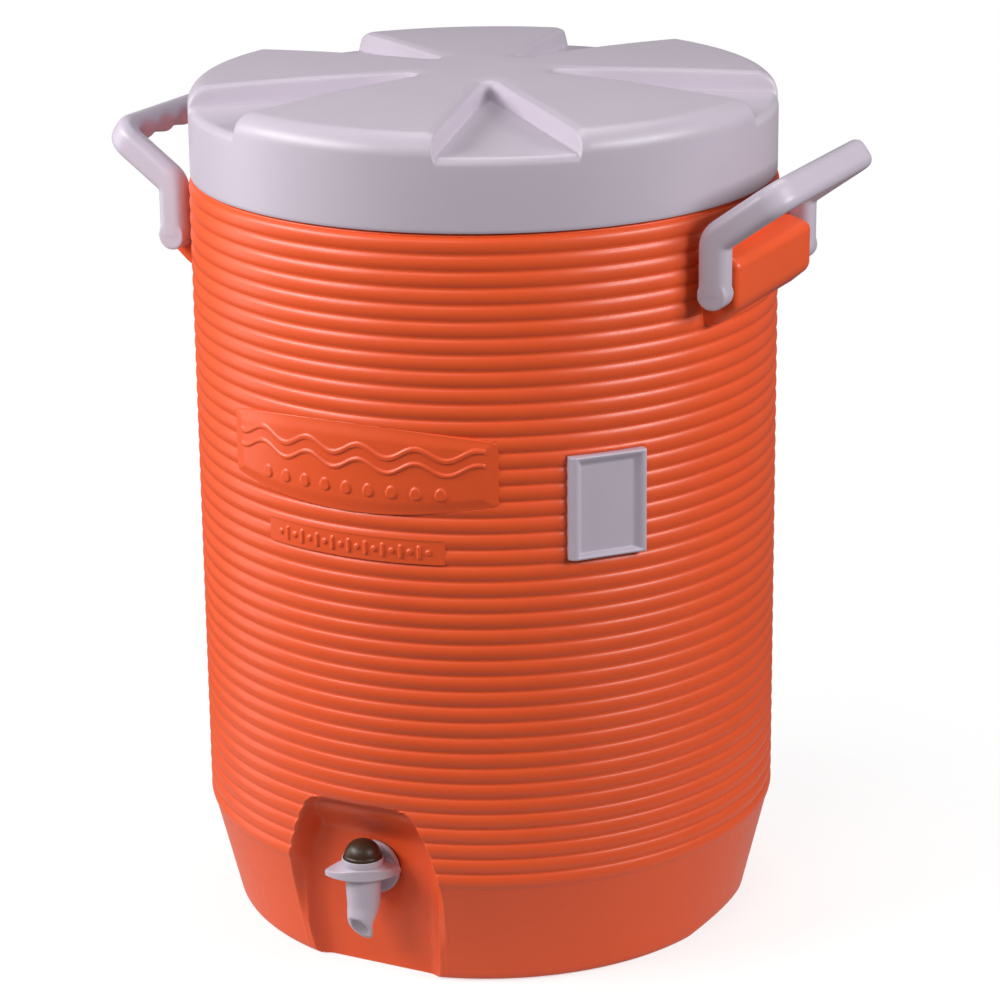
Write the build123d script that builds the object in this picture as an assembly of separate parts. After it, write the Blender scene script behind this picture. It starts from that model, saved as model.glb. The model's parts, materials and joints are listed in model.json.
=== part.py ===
from build123d import *
import math
import os

# Insulated drinking-water cooler with a screw-on lid, two swinging handles,
# a cup-dispenser bracket and a push-button spigot.
# Millimetres, +Z up. The origin is the middle of the foot ring, on the floor.
# The spigot faces -Y and the handles are on the X sides. An angle round the
# body is counted from the spigot, positive towards +X.

# ---- driving dimensions ----------------------------------------------------
WALL = 3.0                      # moulded wall of the shell, the liner and the lid

# outer shell
CREST_R = 165.0                 # radius at the top of a rib
RIB_COUNT = 41
RIB_PITCH = 8.915
RIB_DEPTH = 1.4
FOOT_R = 148.5                  # radius where the base meets the floor
FOOT_ROUND = 4.0
BASE_TOP = 62.7                 # top of the smooth tapered base band
FOOT_RING_R = 131.0             # inner edge of the foot ring
UNDER_PANEL = 4.0               # height of the underside inside the foot ring
FLOOR_TOP = 8.0                 # inside floor of the shell
LEDGE_GAP = 0.4                 # from the last rib up to the shoulder
NECK_R = 151.0
NECK_TOP = 455.0
TIP_SCOOP_R = 200.0             # shallow finger scoops in the foot ring
TIP_SCOOP_DEPTH = 3.0

# plugs in the underside, left from filling the foam
FILL_PLUG_R = 14.0
VENT_PLUG_R = 6.0
VENT_PLUG_X = 80.0
PLUG_FLANGE = 4.0
PLUG_FLANGE_THICK = 1.5

# inner tank
TANK_R = 133.0
TANK_FLOOR = 40.0
TANK_CORNER = 7.0
RIM_TOP = NECK_TOP + WALL
BOSS_R = 17.0                   # flat boss where the spigot passes through
BOSS_INSET = 1.5                # depth of the flat cut into the tank's curve

# panels moulded flush into the ribs
BADGE_HALF = 80.0
BADGE_END_LOW = 283.5
BADGE_END_HIGH = 318.7
BADGE_LOW = 276.0
BADGE_HIGH = 326.0
BADGE_PROUD = 1.2
STRIP_HALF = 53.7
STRIP_LOW = 250.0
STRIP_HIGH = 264.0

# handle blocks and their flush pads
BLOCK_HALF = 52.0
BLOCK_D = 177.0                 # distance of the outer face from the axis
BLOCK_LOW = 379.5
BLOCK_HIGH = 404.5
BLOCK_TOP_RISE = 3.5
BLOCK_FOOT = 368.0
BLOCK_EDGE = 4.0
PAD_HALF = 54.0

# handles
PIVOT_D = 166.6
PIVOT_Z = 388.5
BEND_Z = 418.2
GRIP_D = 202.3
GRIP_Z = 444.0
LEG_S = 60.0                    # distance of a leg's middle from the centre plane
LEG_WIDE = 17.0
LEG_THICK = 13.0
LEG_CORNER = 5.5
BEND_ROUND = 14.0
GRIP_ROUND = 10.0
SCALLOPS = 5
SCALLOP_PITCH = 21.0
SCALLOP_R = 14.0
SCALLOP_DEPTH = 1.6
PIN_R = 4.0
PIN_HALF = 62.5
PIN_PLAY = 0.05

# recess round the spigot
RECESS_D = 141.0                # flat seat of the spigot, from the axis
RECESS_FOOT_D = 137.0           # the recess leans in from its seat to here at the floor
RECESS_SEAT_LOW = 44.0          # lower end of the upright seat
RECESS_FLAT = 38.0
RECESS_SIDE_D = 146.0
RECESS_SIDE = 44.5
RECESS_MOUTH = 46.5
RECESS_TOP_HALF = 29.0
RECESS_SHOULDER = 68.0
RECESS_TOP = 105.5
RECESS_SLOPE_LOW = 80.0
RECESS_SLOPE_HIGH = 98.0
RECESS_SLOPE_D = 154.0

# spigot
TAP_Z = 62.0                    # height of the shank through the wall
TAP_D = 158.0                   # distance of the upright barrel from the axis
SHANK_R = 8.0
WATERWAY_R = 4.0
FLANGE_R = 15.5
FLANGE_THICK = 3.0
TAP_GASKET = 1.5
INNER_GASKET = 2.0
FLANGE_EDGE = 1.2
NUT_ACROSS = 26.0
NUT_THICK = 7.0
SHANK_END = 121.0
BARREL_R = 9.7
BARREL_TOP = 66.6
CHAMBER_R = 6.5
CHAMBER_LOW = 55.0
SEAT_LOW = 53.0
SEAT_R = 4.4
LOWER_R = 7.0
LOWER_END = 44.5
SPOUT_D = 161.0
SPOUT_R = 6.3
SPOUT_BORE = 4.8
SPOUT_TOP = 39.0
SPOUT_TIP = 22.0
SPOUT_CUT_HIGH = 43.0
WING_HALF = 21.5
WING_WIDE = 12.2
WING_THICK = 4.0
WING_TURN = 30.0
WING_TIP_ROUND = 2.5
COLLAR_R = 11.6
COLLAR_BORE = 10.9
COLLAR_TOP = 73.6
COLLAR_FLOOR = 69.0
COLLAR_GAP = 0.3
SEAL_R = 4.6
SEAL_TOP = 67.0
NOSE = 1.7                      # how far the collar's nose reaches into the chamber
NOSE_PLAY = 0.05
BUTTON_R = 10.6
BUTTON_LOW = 73.3
BUTTON_HIGH = 10.1
BUTTON_FLARE = [(0.0, 0.8), (0.7, 1.7), (1.0, 3.0)]     # inset from the edge, rise
BUTTON_SIDE = [(1.0, 3.0), (2.6, 7.2), (6.0, 9.3)]
BUTTON_HOLLOW_R = 7.2
BUTTON_BOSS_R = 3.6
BUTTON_BOSS_UP = 2.5
SPRING_TOP = BUTTON_LOW + 6.8
STEM_R = 2.2
STEM_PLAY = 0.08
SEAL_PLAY = 0.05
STEM_TAIL = 2.6                 # stem below the washer
CLIP_WIDE = 1.6
CLIP_THICK = 1.2
WASHER_R = 5.8
WASHER_TOP = 52.9
WASHER_THICK = 3.0
SPRING_R = 5.6
SPRING_WIRE = 0.5
SPRING_TURNS = 4.5

# cup-dispenser bracket, let into the ribs
BRACKET_TURN = 49.5
BRACKET_LOW = 251.7
BRACKET_HIGH = 309.0
BRACKET_HALF = 22.0
BRACKET_FACE = 168.4
BRACKET_FLOOR = 165.5
BRACKET_RIM = 1.8
BRACKET_SLOPE = 4.6             # width of the sloping inner faces
STUD_R = 3.0
STUD_SPACING = 30.0
STUD_TAIL = 4.0
STUD_ROOM = 1.0                 # space left past the end of a stud
PUSH_NUT_R = 7.0
PUSH_NUT_THICK = 1.5
PUSH_NUT_GAP = 1.0
PUSH_NUT_ROOM = 1.0             # hollow in the foam round a nut

# lid
LID_R = 164.0
LID_LOW = 430.4
LID_SIDE_TOP = 470.0
LID_ROUND = 12.0
LID_CROWN = 487.0
GRIP_WEDGES = 5
WEDGE_FIRST = 31.3              # angle of the first grip wedge from the spigot
WEDGE_APEX = 32.0
WEDGE_HALF_ANGLE = 16.9
WEDGE_TIP_R = 4.0
WEDGE_DRAFT = 3.4
WEDGE_INNER_Z = 477.0
WEDGE_OUTER_Z = 470.0
SKIRT_R = 154.8
PAN_LIP = 460.5
PLUG_R = 131.0
PAN_LOW = 447.0
PAN_TOP = PAN_LIP + WALL
PAN_FOOT = 431.0
PAN_FOOT_THICK = 2.5
LID_PLUG_HOLE = 9.0
GASKET_IN = 137.0
GASKET_OUT = 149.0
GASKET_PLAY = 0.15

# four-start screw between neck and lid
STARTS = 4
SCREW_LEAD = 36.0
NECK_LUG_ARC = 60.0
LID_LUG_ARC = 40.0
NECK_LUG_Z = 446.0
LUG_DROP = 3.5
LUG_ROOT_HALF = 2.2
LUG_TIP_HALF = 1.3
LUG_HEIGHT = 3.0
LUG_SINK = 0.5

VALLEY_R = CREST_R - RIB_DEPTH
RIB_TOP = BASE_TOP + RIB_COUNT * RIB_PITCH
SHOULDER = RIB_TOP + LEDGE_GAP
INNER_R = VALLEY_R - WALL
FAR = 400.0                     # longer than anything, for cutting tools
BEYOND = 185.0                  # outside every wall, for cutting tools


# ---- helpers ---------------------------------------------------------------
def facing(turn, distance, height):
    """Plane that faces outwards: x runs round the body, y up and z outwards."""
    angle = math.radians(turn)
    out = (math.sin(angle), -math.cos(angle), 0)
    along = (math.cos(angle), math.sin(angle), 0)
    origin = (distance * out[0], distance * out[1], height)
    return Plane(origin=origin, x_dir=along, z_dir=out)


def turned(edges):
    """Solid of revolution about Z of closed (radius, height) edges."""
    return revolve(Plane.XZ * make_face(edges), Axis.Z)


def turned_points(points):
    return turned(Polyline(*points, close=True))


def rod(radius, low, high, x=0, y=0):
    """Upright cylinder."""
    return Pos(x, y, (low + high) / 2) * Cylinder(radius, high - low)


def rod_out(turn, height, radius, start, end, across=0):
    """Cylinder that points outwards, between two distances from the axis."""
    plane = facing(turn, (start + end) / 2, height)
    return plane * (Pos(across, 0, 0) * Cylinder(radius, end - start))


def side_slab(turn, points, half):
    """Prism of a (distance, height) outline, half wide to each side."""
    angle = math.radians(turn)
    out = (math.sin(angle), -math.cos(angle), 0)
    along = (math.cos(angle), math.sin(angle), 0)
    back = (-along[0], -along[1], 0)
    plane = Plane(origin=(0, 0, 0), x_dir=out, z_dir=back)
    return extrude(plane * make_face(Polyline(*points, close=True)), half, both=True)


def front_slab(turn, outline):
    """Prism of an outline seen from outside, from the axis outwards."""
    return extrude(facing(turn, 0, 0) * make_face(outline), BEYOND)


def dome_arc(edge, top):
    """Arc from an edge point up to the axis, centred on the axis."""
    radius, height = edge
    rise = top - height
    sphere = (radius**2 + rise**2) / (2 * rise)
    half = math.asin(radius / sphere) / 2
    middle = (sphere * math.sin(half), top - sphere * (1 - math.cos(half)))
    return ThreePointArc(edge, middle, (0, top))


def tube(outer, inner, low, high, x=0, y=0):
    return rod(outer, low, high, x, y) - rod(inner, low - 1, high + 1, x, y)


# ---- outer shell -----------------------------------------------------------
def shell_outside():
    """The filled outer form: foot, tapered base, ribs, shoulder and neck."""
    start = (FOOT_R - FOOT_ROUND, 0)
    slope = math.atan2(BASE_TOP, VALLEY_R - FOOT_R)
    corner = (FOOT_R + FOOT_ROUND * math.cos(slope), FOOT_ROUND * math.sin(slope))
    round_r = FOOT_ROUND * math.tan((math.pi - slope) / 2)
    middle = (start[0] + round_r * math.sin(slope / 2), round_r * (1 - math.cos(slope / 2)))
    edges = [Line((0, UNDER_PANEL), (FOOT_RING_R - WALL, UNDER_PANEL))]
    edges += [Line((FOOT_RING_R - WALL, UNDER_PANEL), (FOOT_RING_R, 0))]
    edges += [Line((FOOT_RING_R, 0), start)]
    edges += [ThreePointArc(start, middle, corner)]
    edges += [Line(corner, (VALLEY_R, BASE_TOP))]
    for rib in range(RIB_COUNT):
        low = BASE_TOP + rib * RIB_PITCH
        high = low + RIB_PITCH
        crest = (CREST_R, (low + high) / 2)
        edges += [ThreePointArc((VALLEY_R, low), crest, (VALLEY_R, high))]
    top = [(VALLEY_R, RIB_TOP), (VALLEY_R, SHOULDER), (NECK_R, SHOULDER)]
    top += [(NECK_R, NECK_TOP), (0, NECK_TOP), (0, UNDER_PANEL)]
    edges += [Line(a, b) for a, b in zip(top, top[1:])]
    return turned(edges)


def shell_inside():
    """The hollow of the shell, which the foam fills round the tank."""
    points = [(0, FLOOR_TOP), (FOOT_R - WALL, FLOOR_TOP), (INNER_R, BASE_TOP)]
    points += [(INNER_R, SHOULDER - WALL), (NECK_R - WALL, SHOULDER - WALL)]
    points += [(NECK_R - WALL, NECK_TOP), (0, NECK_TOP)]
    return turned_points(points)


def recess_tool(grow):
    """The recess round the spigot; grow gives the wall behind it."""
    depth = RECESS_D - grow
    foot = RECESS_FOOT_D - grow
    side = RECESS_SIDE + grow
    side_d = RECESS_SIDE_D - grow
    mouth = RECESS_MOUTH + grow
    plan = [(-mouth, -BEYOND), (-mouth, -FOOT_R), (-side, -side_d)]
    plan += [(-RECESS_FLAT, -foot), (RECESS_FLAT, -foot)]
    plan += [(side, -side_d), (mouth, -FOOT_R), (mouth, -BEYOND)]
    plan_prism = extrude(make_face(Polyline(*plan, close=True)), FAR, both=True)
    half = RECESS_TOP_HALF + grow
    top = RECESS_TOP + grow
    front = [(-mouth, -1), (-mouth, RECESS_SHOULDER), (-half, top), (half, top)]
    front += [(mouth, RECESS_SHOULDER), (mouth, -1)]
    front_prism = front_slab(0, Polyline(*front, close=True))
    side_view = [(foot, -1), (foot, 0), (depth, RECESS_SEAT_LOW), (depth, RECESS_SLOPE_LOW)]
    side_view += [(RECESS_SLOPE_D - grow, RECESS_SLOPE_HIGH)]
    side_view += [(BEYOND, top + BEYOND - RECESS_SLOPE_D), (BEYOND, -1)]
    return plan_prism & front_prism & side_slab(0, side_view, BEYOND)


def flush_panel(outline, radius):
    """Smooth patch that fills the grooves between the ribs."""
    return front_slab(0, outline) & rod(radius, 0, NECK_TOP)


def badge_outline():
    low = ThreePointArc(
        (-BADGE_HALF, BADGE_END_LOW), (0, BADGE_LOW), (BADGE_HALF, BADGE_END_LOW)
    )
    high = ThreePointArc(
        (-BADGE_HALF, BADGE_END_HIGH), (0, BADGE_HIGH), (BADGE_HALF, BADGE_END_HIGH)
    )
    left = Line((-BADGE_HALF, BADGE_END_LOW), (-BADGE_HALF, BADGE_END_HIGH))
    right = Line((BADGE_HALF, BADGE_END_LOW), (BADGE_HALF, BADGE_END_HIGH))
    return [low, right, high, left]


def strip_outline():
    low = (-STRIP_HALF, STRIP_LOW)
    high = (STRIP_HALF, STRIP_HIGH)
    corners = [low, (high[0], low[1]), high, (low[0], high[1])]
    return Polyline(*corners, close=True)


def handle_block(turn):
    """Block that carries the handle pin, with its smooth pad on the shell."""
    profile = [(NECK_R, BLOCK_FOOT - 2), (VALLEY_R, BLOCK_FOOT)]
    profile += [(BLOCK_D, BLOCK_LOW), (BLOCK_D, BLOCK_HIGH)]
    profile += [(CREST_R, BLOCK_HIGH + BLOCK_TOP_RISE), (NECK_R, BLOCK_HIGH + BLOCK_TOP_RISE)]
    block = side_slab(turn, profile, BLOCK_HALF)
    plane = facing(turn, BLOCK_D, 0)
    face = block.faces().sort_by(Axis(plane.origin, plane.z_dir))[-1]
    block = fillet(face.edges(), BLOCK_EDGE)
    pad = [(NECK_R, BLOCK_FOOT), (BEYOND, BLOCK_FOOT), (BEYOND, RIB_TOP), (NECK_R, RIB_TOP)]
    return block + (side_slab(turn, pad, PAD_HALF) & rod(CREST_R, 0, NECK_TOP))


def screw_lug(root_r, tip_r, arc, middle_z, turn):
    """One helical lug of the four-start screw, centred on an angle."""
    rise = SCREW_LEAD * arc / 360
    path = Helix(SCREW_LEAD, rise, root_r)
    section = Polyline(
        (root_r, -LUG_ROOT_HALF), (tip_r, -LUG_TIP_HALF),
        (tip_r, LUG_TIP_HALF), (root_r, LUG_ROOT_HALF), close=True,
    )
    lug = sweep(Plane.XZ * make_face(section), path, is_frenet=True)
    return Pos(0, 0, middle_z - rise / 2) * Rot(0, 0, turn - arc / 2) * lug


def outer_shell():
    shell = shell_outside()
    shell += flush_panel(badge_outline(), CREST_R + BADGE_PROUD)
    shell += flush_panel(strip_outline(), CREST_R)
    for turn in (-90, 90):
        shell += handle_block(turn)
    shell -= recess_tool(0)
    shell -= shell_inside() - recess_tool(WALL)
    for turn in (-90, 90):
        side = math.copysign(1, turn)
        pin_hole = Pos(side * PIVOT_D, 0, PIVOT_Z) * Rot(90, 0, 0) * Cylinder(PIN_R, FAR)
        scoop = Pos(side * FOOT_R, 0, TIP_SCOOP_DEPTH - TIP_SCOOP_R)
        shell -= pin_hole
        shell -= scoop * Rot(0, 90, 0) * Cylinder(TIP_SCOOP_R, 2 * (FOOT_R - FOOT_RING_R) + 1)
    for start in range(STARTS):
        turn = start * 360 / STARTS
        shell += screw_lug(NECK_R - LUG_SINK, NECK_R + LUG_HEIGHT, NECK_LUG_ARC, NECK_LUG_Z, turn)
    shell -= rod_out(0, TAP_Z, SHANK_R, 0, BEYOND)
    shell -= bracket_block()
    for height in stud_heights():
        shell -= rod_out(BRACKET_TURN, height, STUD_R, NECK_R, BEYOND)
    shell -= rod(FILL_PLUG_R, -1, FLOOR_TOP + 1)
    shell -= rod(VENT_PLUG_R, -1, FLOOR_TOP + 1, VENT_PLUG_X)
    return shell


# ---- plugs in the underside ------------------------------------------------
def base_plug(radius, x):
    flange = rod(radius + PLUG_FLANGE, UNDER_PANEL - PLUG_FLANGE_THICK, UNDER_PANEL, x)
    return flange + rod(radius, UNDER_PANEL, FLOOR_TOP, x)


# ---- tank and foam ---------------------------------------------------------
def tank_form(radius, floor, corner):
    """Filled tank shape with a rounded bottom corner."""
    low = (radius - corner, floor)
    high = (radius, floor + corner)
    bulge = corner * (1 - math.cos(math.radians(45)))
    middle = (radius - bulge, floor + bulge)
    edges = [Line((0, floor), low), ThreePointArc(low, middle, high)]
    edges += [Line(high, (radius, RIM_TOP)), Line((radius, RIM_TOP), (0, RIM_TOP))]
    edges += [Line((0, RIM_TOP), (0, floor))]
    return turned(edges)


def tank_outside():
    return tank_form(TANK_R + WALL, TANK_FLOOR - WALL, TANK_CORNER + WALL)


def tap_boss():
    """Flat boss that carries the spigot's shank through the tank wall."""
    return rod_out(0, TAP_Z, BOSS_R, TANK_R - BOSS_INSET, RECESS_D - WALL)


def inner_liner():
    rim = tube(NECK_R, TANK_R + WALL, NECK_TOP, RIM_TOP)
    boss = tap_boss() - rod(TANK_R - BOSS_INSET, 0, TANK_FLOOR)
    liner = tank_outside() - tank_form(TANK_R, TANK_FLOOR, TANK_CORNER)
    return liner + rim + boss - rod_out(0, TAP_Z, SHANK_R, 0, BEYOND)


def foam_insulation():
    foam = shell_inside() - recess_tool(WALL) - tank_outside() - tap_boss()
    for height in stud_heights():
        nut_room = PUSH_NUT_R + PUSH_NUT_ROOM
        foam -= rod_out(BRACKET_TURN, height, nut_room, INNER_R - STUD_TAIL, BEYOND)
    return foam


# ---- handles ---------------------------------------------------------------
def handle_right():
    """Bail handle: two bent legs and a grip with finger scallops."""
    corners = [(PIVOT_D, -LEG_S, PIVOT_Z), (PIVOT_D, -LEG_S, BEND_Z), (GRIP_D, -LEG_S, GRIP_Z)]
    corners += [(x, -y, z) for x, y, z in reversed(corners)]
    path = FilletPolyline(*corners, radius=[BEND_ROUND, GRIP_ROUND, GRIP_ROUND, BEND_ROUND])
    start = Plane(origin=corners[0], x_dir=(1, 0, 0), z_dir=(0, 0, 1))
    section = start * RectangleRounded(LEG_WIDE, LEG_THICK, LEG_CORNER)
    handle = sweep(section, path)
    slope = Vector(GRIP_D - PIVOT_D, 0, GRIP_Z - BEND_Z).normalized()
    normal = Vector(-slope.Z, 0, slope.X)
    back = LEG_THICK / 2 + SCALLOP_R - SCALLOP_DEPTH
    for count in range(SCALLOPS):
        y = (count - (SCALLOPS - 1) / 2) * SCALLOP_PITCH
        middle = Vector(GRIP_D, y, GRIP_Z) - slope * back
        plane = Plane(origin=middle, x_dir=slope, z_dir=normal)
        handle -= plane * Cylinder(SCALLOP_R, 2 * LEG_WIDE)
    for side in (-1, 1):
        end = Pos(PIVOT_D, side * LEG_S, PIVOT_Z) * Rot(90, 0, 0)
        handle += end * Cylinder(LEG_WIDE / 2, LEG_THICK)
    return handle - handle_pin(PIN_R + PIN_PLAY, PIN_HALF + 2 * PIN_PLAY)


def handle_pin(radius, half):
    return Pos(PIVOT_D, 0, PIVOT_Z) * Rot(90, 0, 0) * Cylinder(radius, 2 * half)


# ---- cup-dispenser bracket -------------------------------------------------
def stud_heights():
    middle = (BRACKET_LOW + BRACKET_HIGH) / 2
    return [middle - STUD_SPACING / 2, middle + STUD_SPACING / 2]


def bracket_block():
    """The bracket's outline, from the bottom of the ribs to its face."""
    middle = (BRACKET_LOW + BRACKET_HIGH) / 2
    height = BRACKET_HIGH - BRACKET_LOW
    back = facing(BRACKET_TURN, NECK_R, middle) * Rectangle(2 * BRACKET_HALF, height)
    return extrude(back, BRACKET_FACE - NECK_R) - rod(VALLEY_R, 0, NECK_TOP)


def cup_bracket():
    """Shallow tray with a raised rim, held by two studs."""
    middle = (BRACKET_LOW + BRACKET_HIGH) / 2
    floor = facing(BRACKET_TURN, BRACKET_FLOOR, middle)
    mouth = facing(BRACKET_TURN, BRACKET_FACE, middle)
    wide = 2 * (BRACKET_HALF - BRACKET_RIM)
    tall = BRACKET_HIGH - BRACKET_LOW - 2 * BRACKET_RIM
    flat = Rectangle(wide - 2 * BRACKET_SLOPE, tall - BRACKET_SLOPE)
    low = floor * (Pos(0, -BRACKET_SLOPE / 2) * flat)
    body = bracket_block() - loft([low, mouth * Rectangle(wide, tall)])
    for height in stud_heights():
        body += rod_out(BRACKET_TURN, height, STUD_R, INNER_R - STUD_TAIL + STUD_ROOM, BRACKET_FLOOR)
    return body


def bracket_push_nuts():
    nuts = []
    back = INNER_R - PUSH_NUT_GAP
    for height in stud_heights():
        nut = rod_out(BRACKET_TURN, height, PUSH_NUT_R, back - PUSH_NUT_THICK, back)
        nuts.append(nut - rod_out(BRACKET_TURN, height, STUD_R, NECK_R, BEYOND))
    return Compound(children=nuts)


# ---- spigot ----------------------------------------------------------------
def wing_plate():
    """Pointed finger plate, turned a little about the barrel."""
    front = ThreePointArc((-WING_HALF, 0), (0, WING_WIDE), (WING_HALF, 0))
    back = ThreePointArc((-WING_HALF, 0), (0, -WING_WIDE), (WING_HALF, 0))
    plate = extrude(make_face([front, back]), WING_THICK)
    plate = fillet(plate.edges().filter_by(Axis.Z), WING_TIP_ROUND)
    place = Pos(0, -TAP_D, BARREL_TOP - WING_THICK) * Rot(0, 0, WING_TURN)
    return place * plate


def spout_step(big, small):
    """Cone that carries the barrel over to the narrower spout."""
    high = Pos(0, -TAP_D, LOWER_END) * Circle(big)
    low = Pos(0, -SPOUT_D, SPOUT_TOP) * Circle(small)
    return loft([low, high])


def spigot_body():
    seat_face = RECESS_D + TAP_GASKET
    body = rod_out(0, TAP_Z, FLANGE_R, seat_face, seat_face + FLANGE_THICK)
    body = fillet(body.edges().group_by(Axis.Y)[0], FLANGE_EDGE)
    body += rod_out(0, TAP_Z, SHANK_R, SHANK_END, TAP_D)
    body -= rod(COLLAR_R + COLLAR_GAP, BARREL_TOP, COLLAR_TOP, 0, -TAP_D)
    body += rod(BARREL_R, LOWER_END, BARREL_TOP, 0, -TAP_D)
    body += wing_plate()
    body += spout_step(BARREL_R, SPOUT_R)
    body += rod(SPOUT_R, SPOUT_TIP, SPOUT_TOP, 0, -SPOUT_D)
    body -= rod(CHAMBER_R, CHAMBER_LOW, BARREL_TOP + 1, 0, -TAP_D)
    body -= rod(SEAT_R, LOWER_END, CHAMBER_LOW + 1, 0, -TAP_D)
    body -= rod(LOWER_R, LOWER_END, SEAT_LOW, 0, -TAP_D)
    body -= spout_step(LOWER_R, SPOUT_BORE)
    body -= rod(SPOUT_BORE, SPOUT_TIP - 1, SPOUT_TOP, 0, -SPOUT_D)
    body -= rod_out(0, TAP_Z, WATERWAY_R, SHANK_END - 1, TAP_D)
    rake = (SPOUT_CUT_HIGH - SPOUT_TIP) / (2 * SPOUT_R)
    back_d = SPOUT_D - SPOUT_R
    cut = [(back_d - 1, SPOUT_TIP - rake), (back_d - 1, 0), (BEYOND, 0)]
    cut += [(BEYOND, SPOUT_CUT_HIGH + 1), (SPOUT_D + SPOUT_R + 1 / rake, SPOUT_CUT_HIGH + 1)]
    return body - side_slab(0, cut, BARREL_R)


def spigot_bonnet():
    """Screwed collar that guides the button and closes the chamber."""
    collar = rod(COLLAR_R, BARREL_TOP, COLLAR_TOP, 0, -TAP_D)
    collar -= rod(COLLAR_BORE, COLLAR_FLOOR, COLLAR_TOP + 1, 0, -TAP_D)
    nose = tube(CHAMBER_R - NOSE_PLAY, SEAL_R, BARREL_TOP - NOSE, BARREL_TOP, 0, -TAP_D)
    collar += nose
    collar -= rod(SEAL_R, BARREL_TOP - NOSE - 1, SEAL_TOP, 0, -TAP_D)
    return collar - rod(STEM_R + STEM_PLAY, BARREL_TOP - NOSE, COLLAR_TOP, 0, -TAP_D)


def stem_seal():
    return tube(SEAL_R, STEM_R + SEAL_PLAY, BARREL_TOP - NOSE, SEAL_TOP, 0, -TAP_D)


def spigot_button():
    """Domed push button with a small flared base."""
    base = BUTTON_LOW
    flare = [(BUTTON_R - inset, base + rise) for inset, rise in BUTTON_FLARE]
    side = [(BUTTON_R - inset, base + rise) for inset, rise in BUTTON_SIDE]
    top = base + BUTTON_HIGH
    edges = [ThreePointArc(*flare), ThreePointArc(*side), dome_arc(side[-1], top)]
    inside = [(0, top), (0, SPRING_TOP), (STEM_R, SPRING_TOP), (STEM_R, base + BUTTON_BOSS_UP)]
    inside += [(BUTTON_BOSS_R, base + BUTTON_BOSS_UP), (BUTTON_BOSS_R, SPRING_TOP)]
    inside += [(BUTTON_HOLLOW_R, SPRING_TOP), (BUTTON_HOLLOW_R, base), (BUTTON_R, base), flare[0]]
    edges += [Line(a, b) for a, b in zip(inside, inside[1:])]
    return Pos(0, -TAP_D, 0) * turned(edges)


def spigot_stem():
    low = WASHER_TOP - WASHER_THICK - STEM_TAIL
    return rod(STEM_R, low, SPRING_TOP, 0, -TAP_D)


def spigot_washer():
    low = WASHER_TOP - WASHER_THICK
    return tube(WASHER_R, STEM_R, low, WASHER_TOP, 0, -TAP_D)


def stem_clip():
    high = WASHER_TOP - WASHER_THICK
    return tube(STEM_R + CLIP_WIDE, STEM_R, high - CLIP_THICK, high, 0, -TAP_D)


def spigot_spring():
    low = COLLAR_FLOOR + SPRING_WIRE
    length = SPRING_TOP - SPRING_WIRE - low
    path = Helix(length / SPRING_TURNS, length, SPRING_R)
    start = Plane(origin=path @ 0, z_dir=path % 0)
    coil = sweep(start * Circle(SPRING_WIRE), path, is_frenet=True)
    return Pos(0, -TAP_D, low) * coil


def spigot_gasket_outer():
    return rod_out(0, TAP_Z, FLANGE_R - 1, RECESS_D, RECESS_D + TAP_GASKET) - shank_hole()


def spigot_gasket_inner():
    face = TANK_R - BOSS_INSET
    return rod_out(0, TAP_Z, NUT_ACROSS / 2, face - INNER_GASKET, face) - shank_hole()


def spigot_nut():
    face = TANK_R - BOSS_INSET - INNER_GASKET
    hexagon = RegularPolygon(NUT_ACROSS / 2, 6, major_radius=False)
    blank = facing(0, face - NUT_THICK, TAP_Z) * hexagon
    return extrude(blank, NUT_THICK) - shank_hole()


def shank_hole():
    return rod_out(0, TAP_Z, SHANK_R, NECK_R / 2, BEYOND)


# ---- lid -------------------------------------------------------------------
def lid_form(shrink, low):
    """Filled lid shape with a rounded shoulder and a slight crown."""
    radius = LID_R - shrink
    round_r = LID_ROUND - shrink
    inner = LID_R - LID_ROUND
    bend = math.cos(math.radians(45))
    middle = (inner + round_r * bend, LID_SIDE_TOP + round_r * bend)
    rim = (inner, LID_SIDE_TOP + round_r)
    crown = LID_CROWN - shrink
    edges = [Line((0, low), (radius, low)), Line((radius, low), (radius, LID_SIDE_TOP))]
    edges += [ThreePointArc((radius, LID_SIDE_TOP), middle, rim)]
    edges += [dome_arc(rim, crown), Line((0, crown), (0, low))]
    return turned(edges)


def wedge_outline(apex, height, spread):
    """V with a rounded tip, seen from above, that widens towards -Y."""
    angle = math.radians(WEDGE_HALF_ANGLE)
    tip_r = WEDGE_TIP_R + spread
    centre = apex + WEDGE_TIP_R / math.sin(angle)
    touch = (tip_r * math.cos(angle), -(centre - tip_r * math.sin(angle)))
    reach = BEYOND - centre
    half = tip_r / math.cos(angle) + reach * math.tan(angle)
    tip = ThreePointArc((-touch[0], touch[1]), (0, tip_r - centre), touch)
    sides = Polyline(touch, (half, -BEYOND), (-half, -BEYOND), (-touch[0], touch[1]))
    return Pos(0, 0, height) * make_face([tip, sides])


def grip_wedge(turn, grow):
    """Finger wedge sunk into the lid, with drafted sides and a sloping floor."""
    low = WEDGE_OUTER_Z - 2 * WALL
    high = LID_CROWN + WALL
    spread = WEDGE_DRAFT * (high - low) / (2 * LID_ROUND)
    wedge = loft([
        wedge_outline(WEDGE_APEX, low, grow - spread),
        wedge_outline(WEDGE_APEX, high, grow + spread),
    ])
    tip = WEDGE_APEX - LID_ROUND
    slope = (WEDGE_INNER_Z - WEDGE_OUTER_Z) / (LID_R - WEDGE_APEX)
    tip_z = WEDGE_INNER_Z + slope * LID_ROUND - grow
    end_z = WEDGE_OUTER_Z - slope * (BEYOND - LID_R) - grow
    floor = [(tip, tip_z), (BEYOND, end_z), (BEYOND, FAR * 2), (tip, FAR * 2)]
    return Rot(0, 0, turn) * (wedge & side_slab(0, floor, BEYOND))


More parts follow.
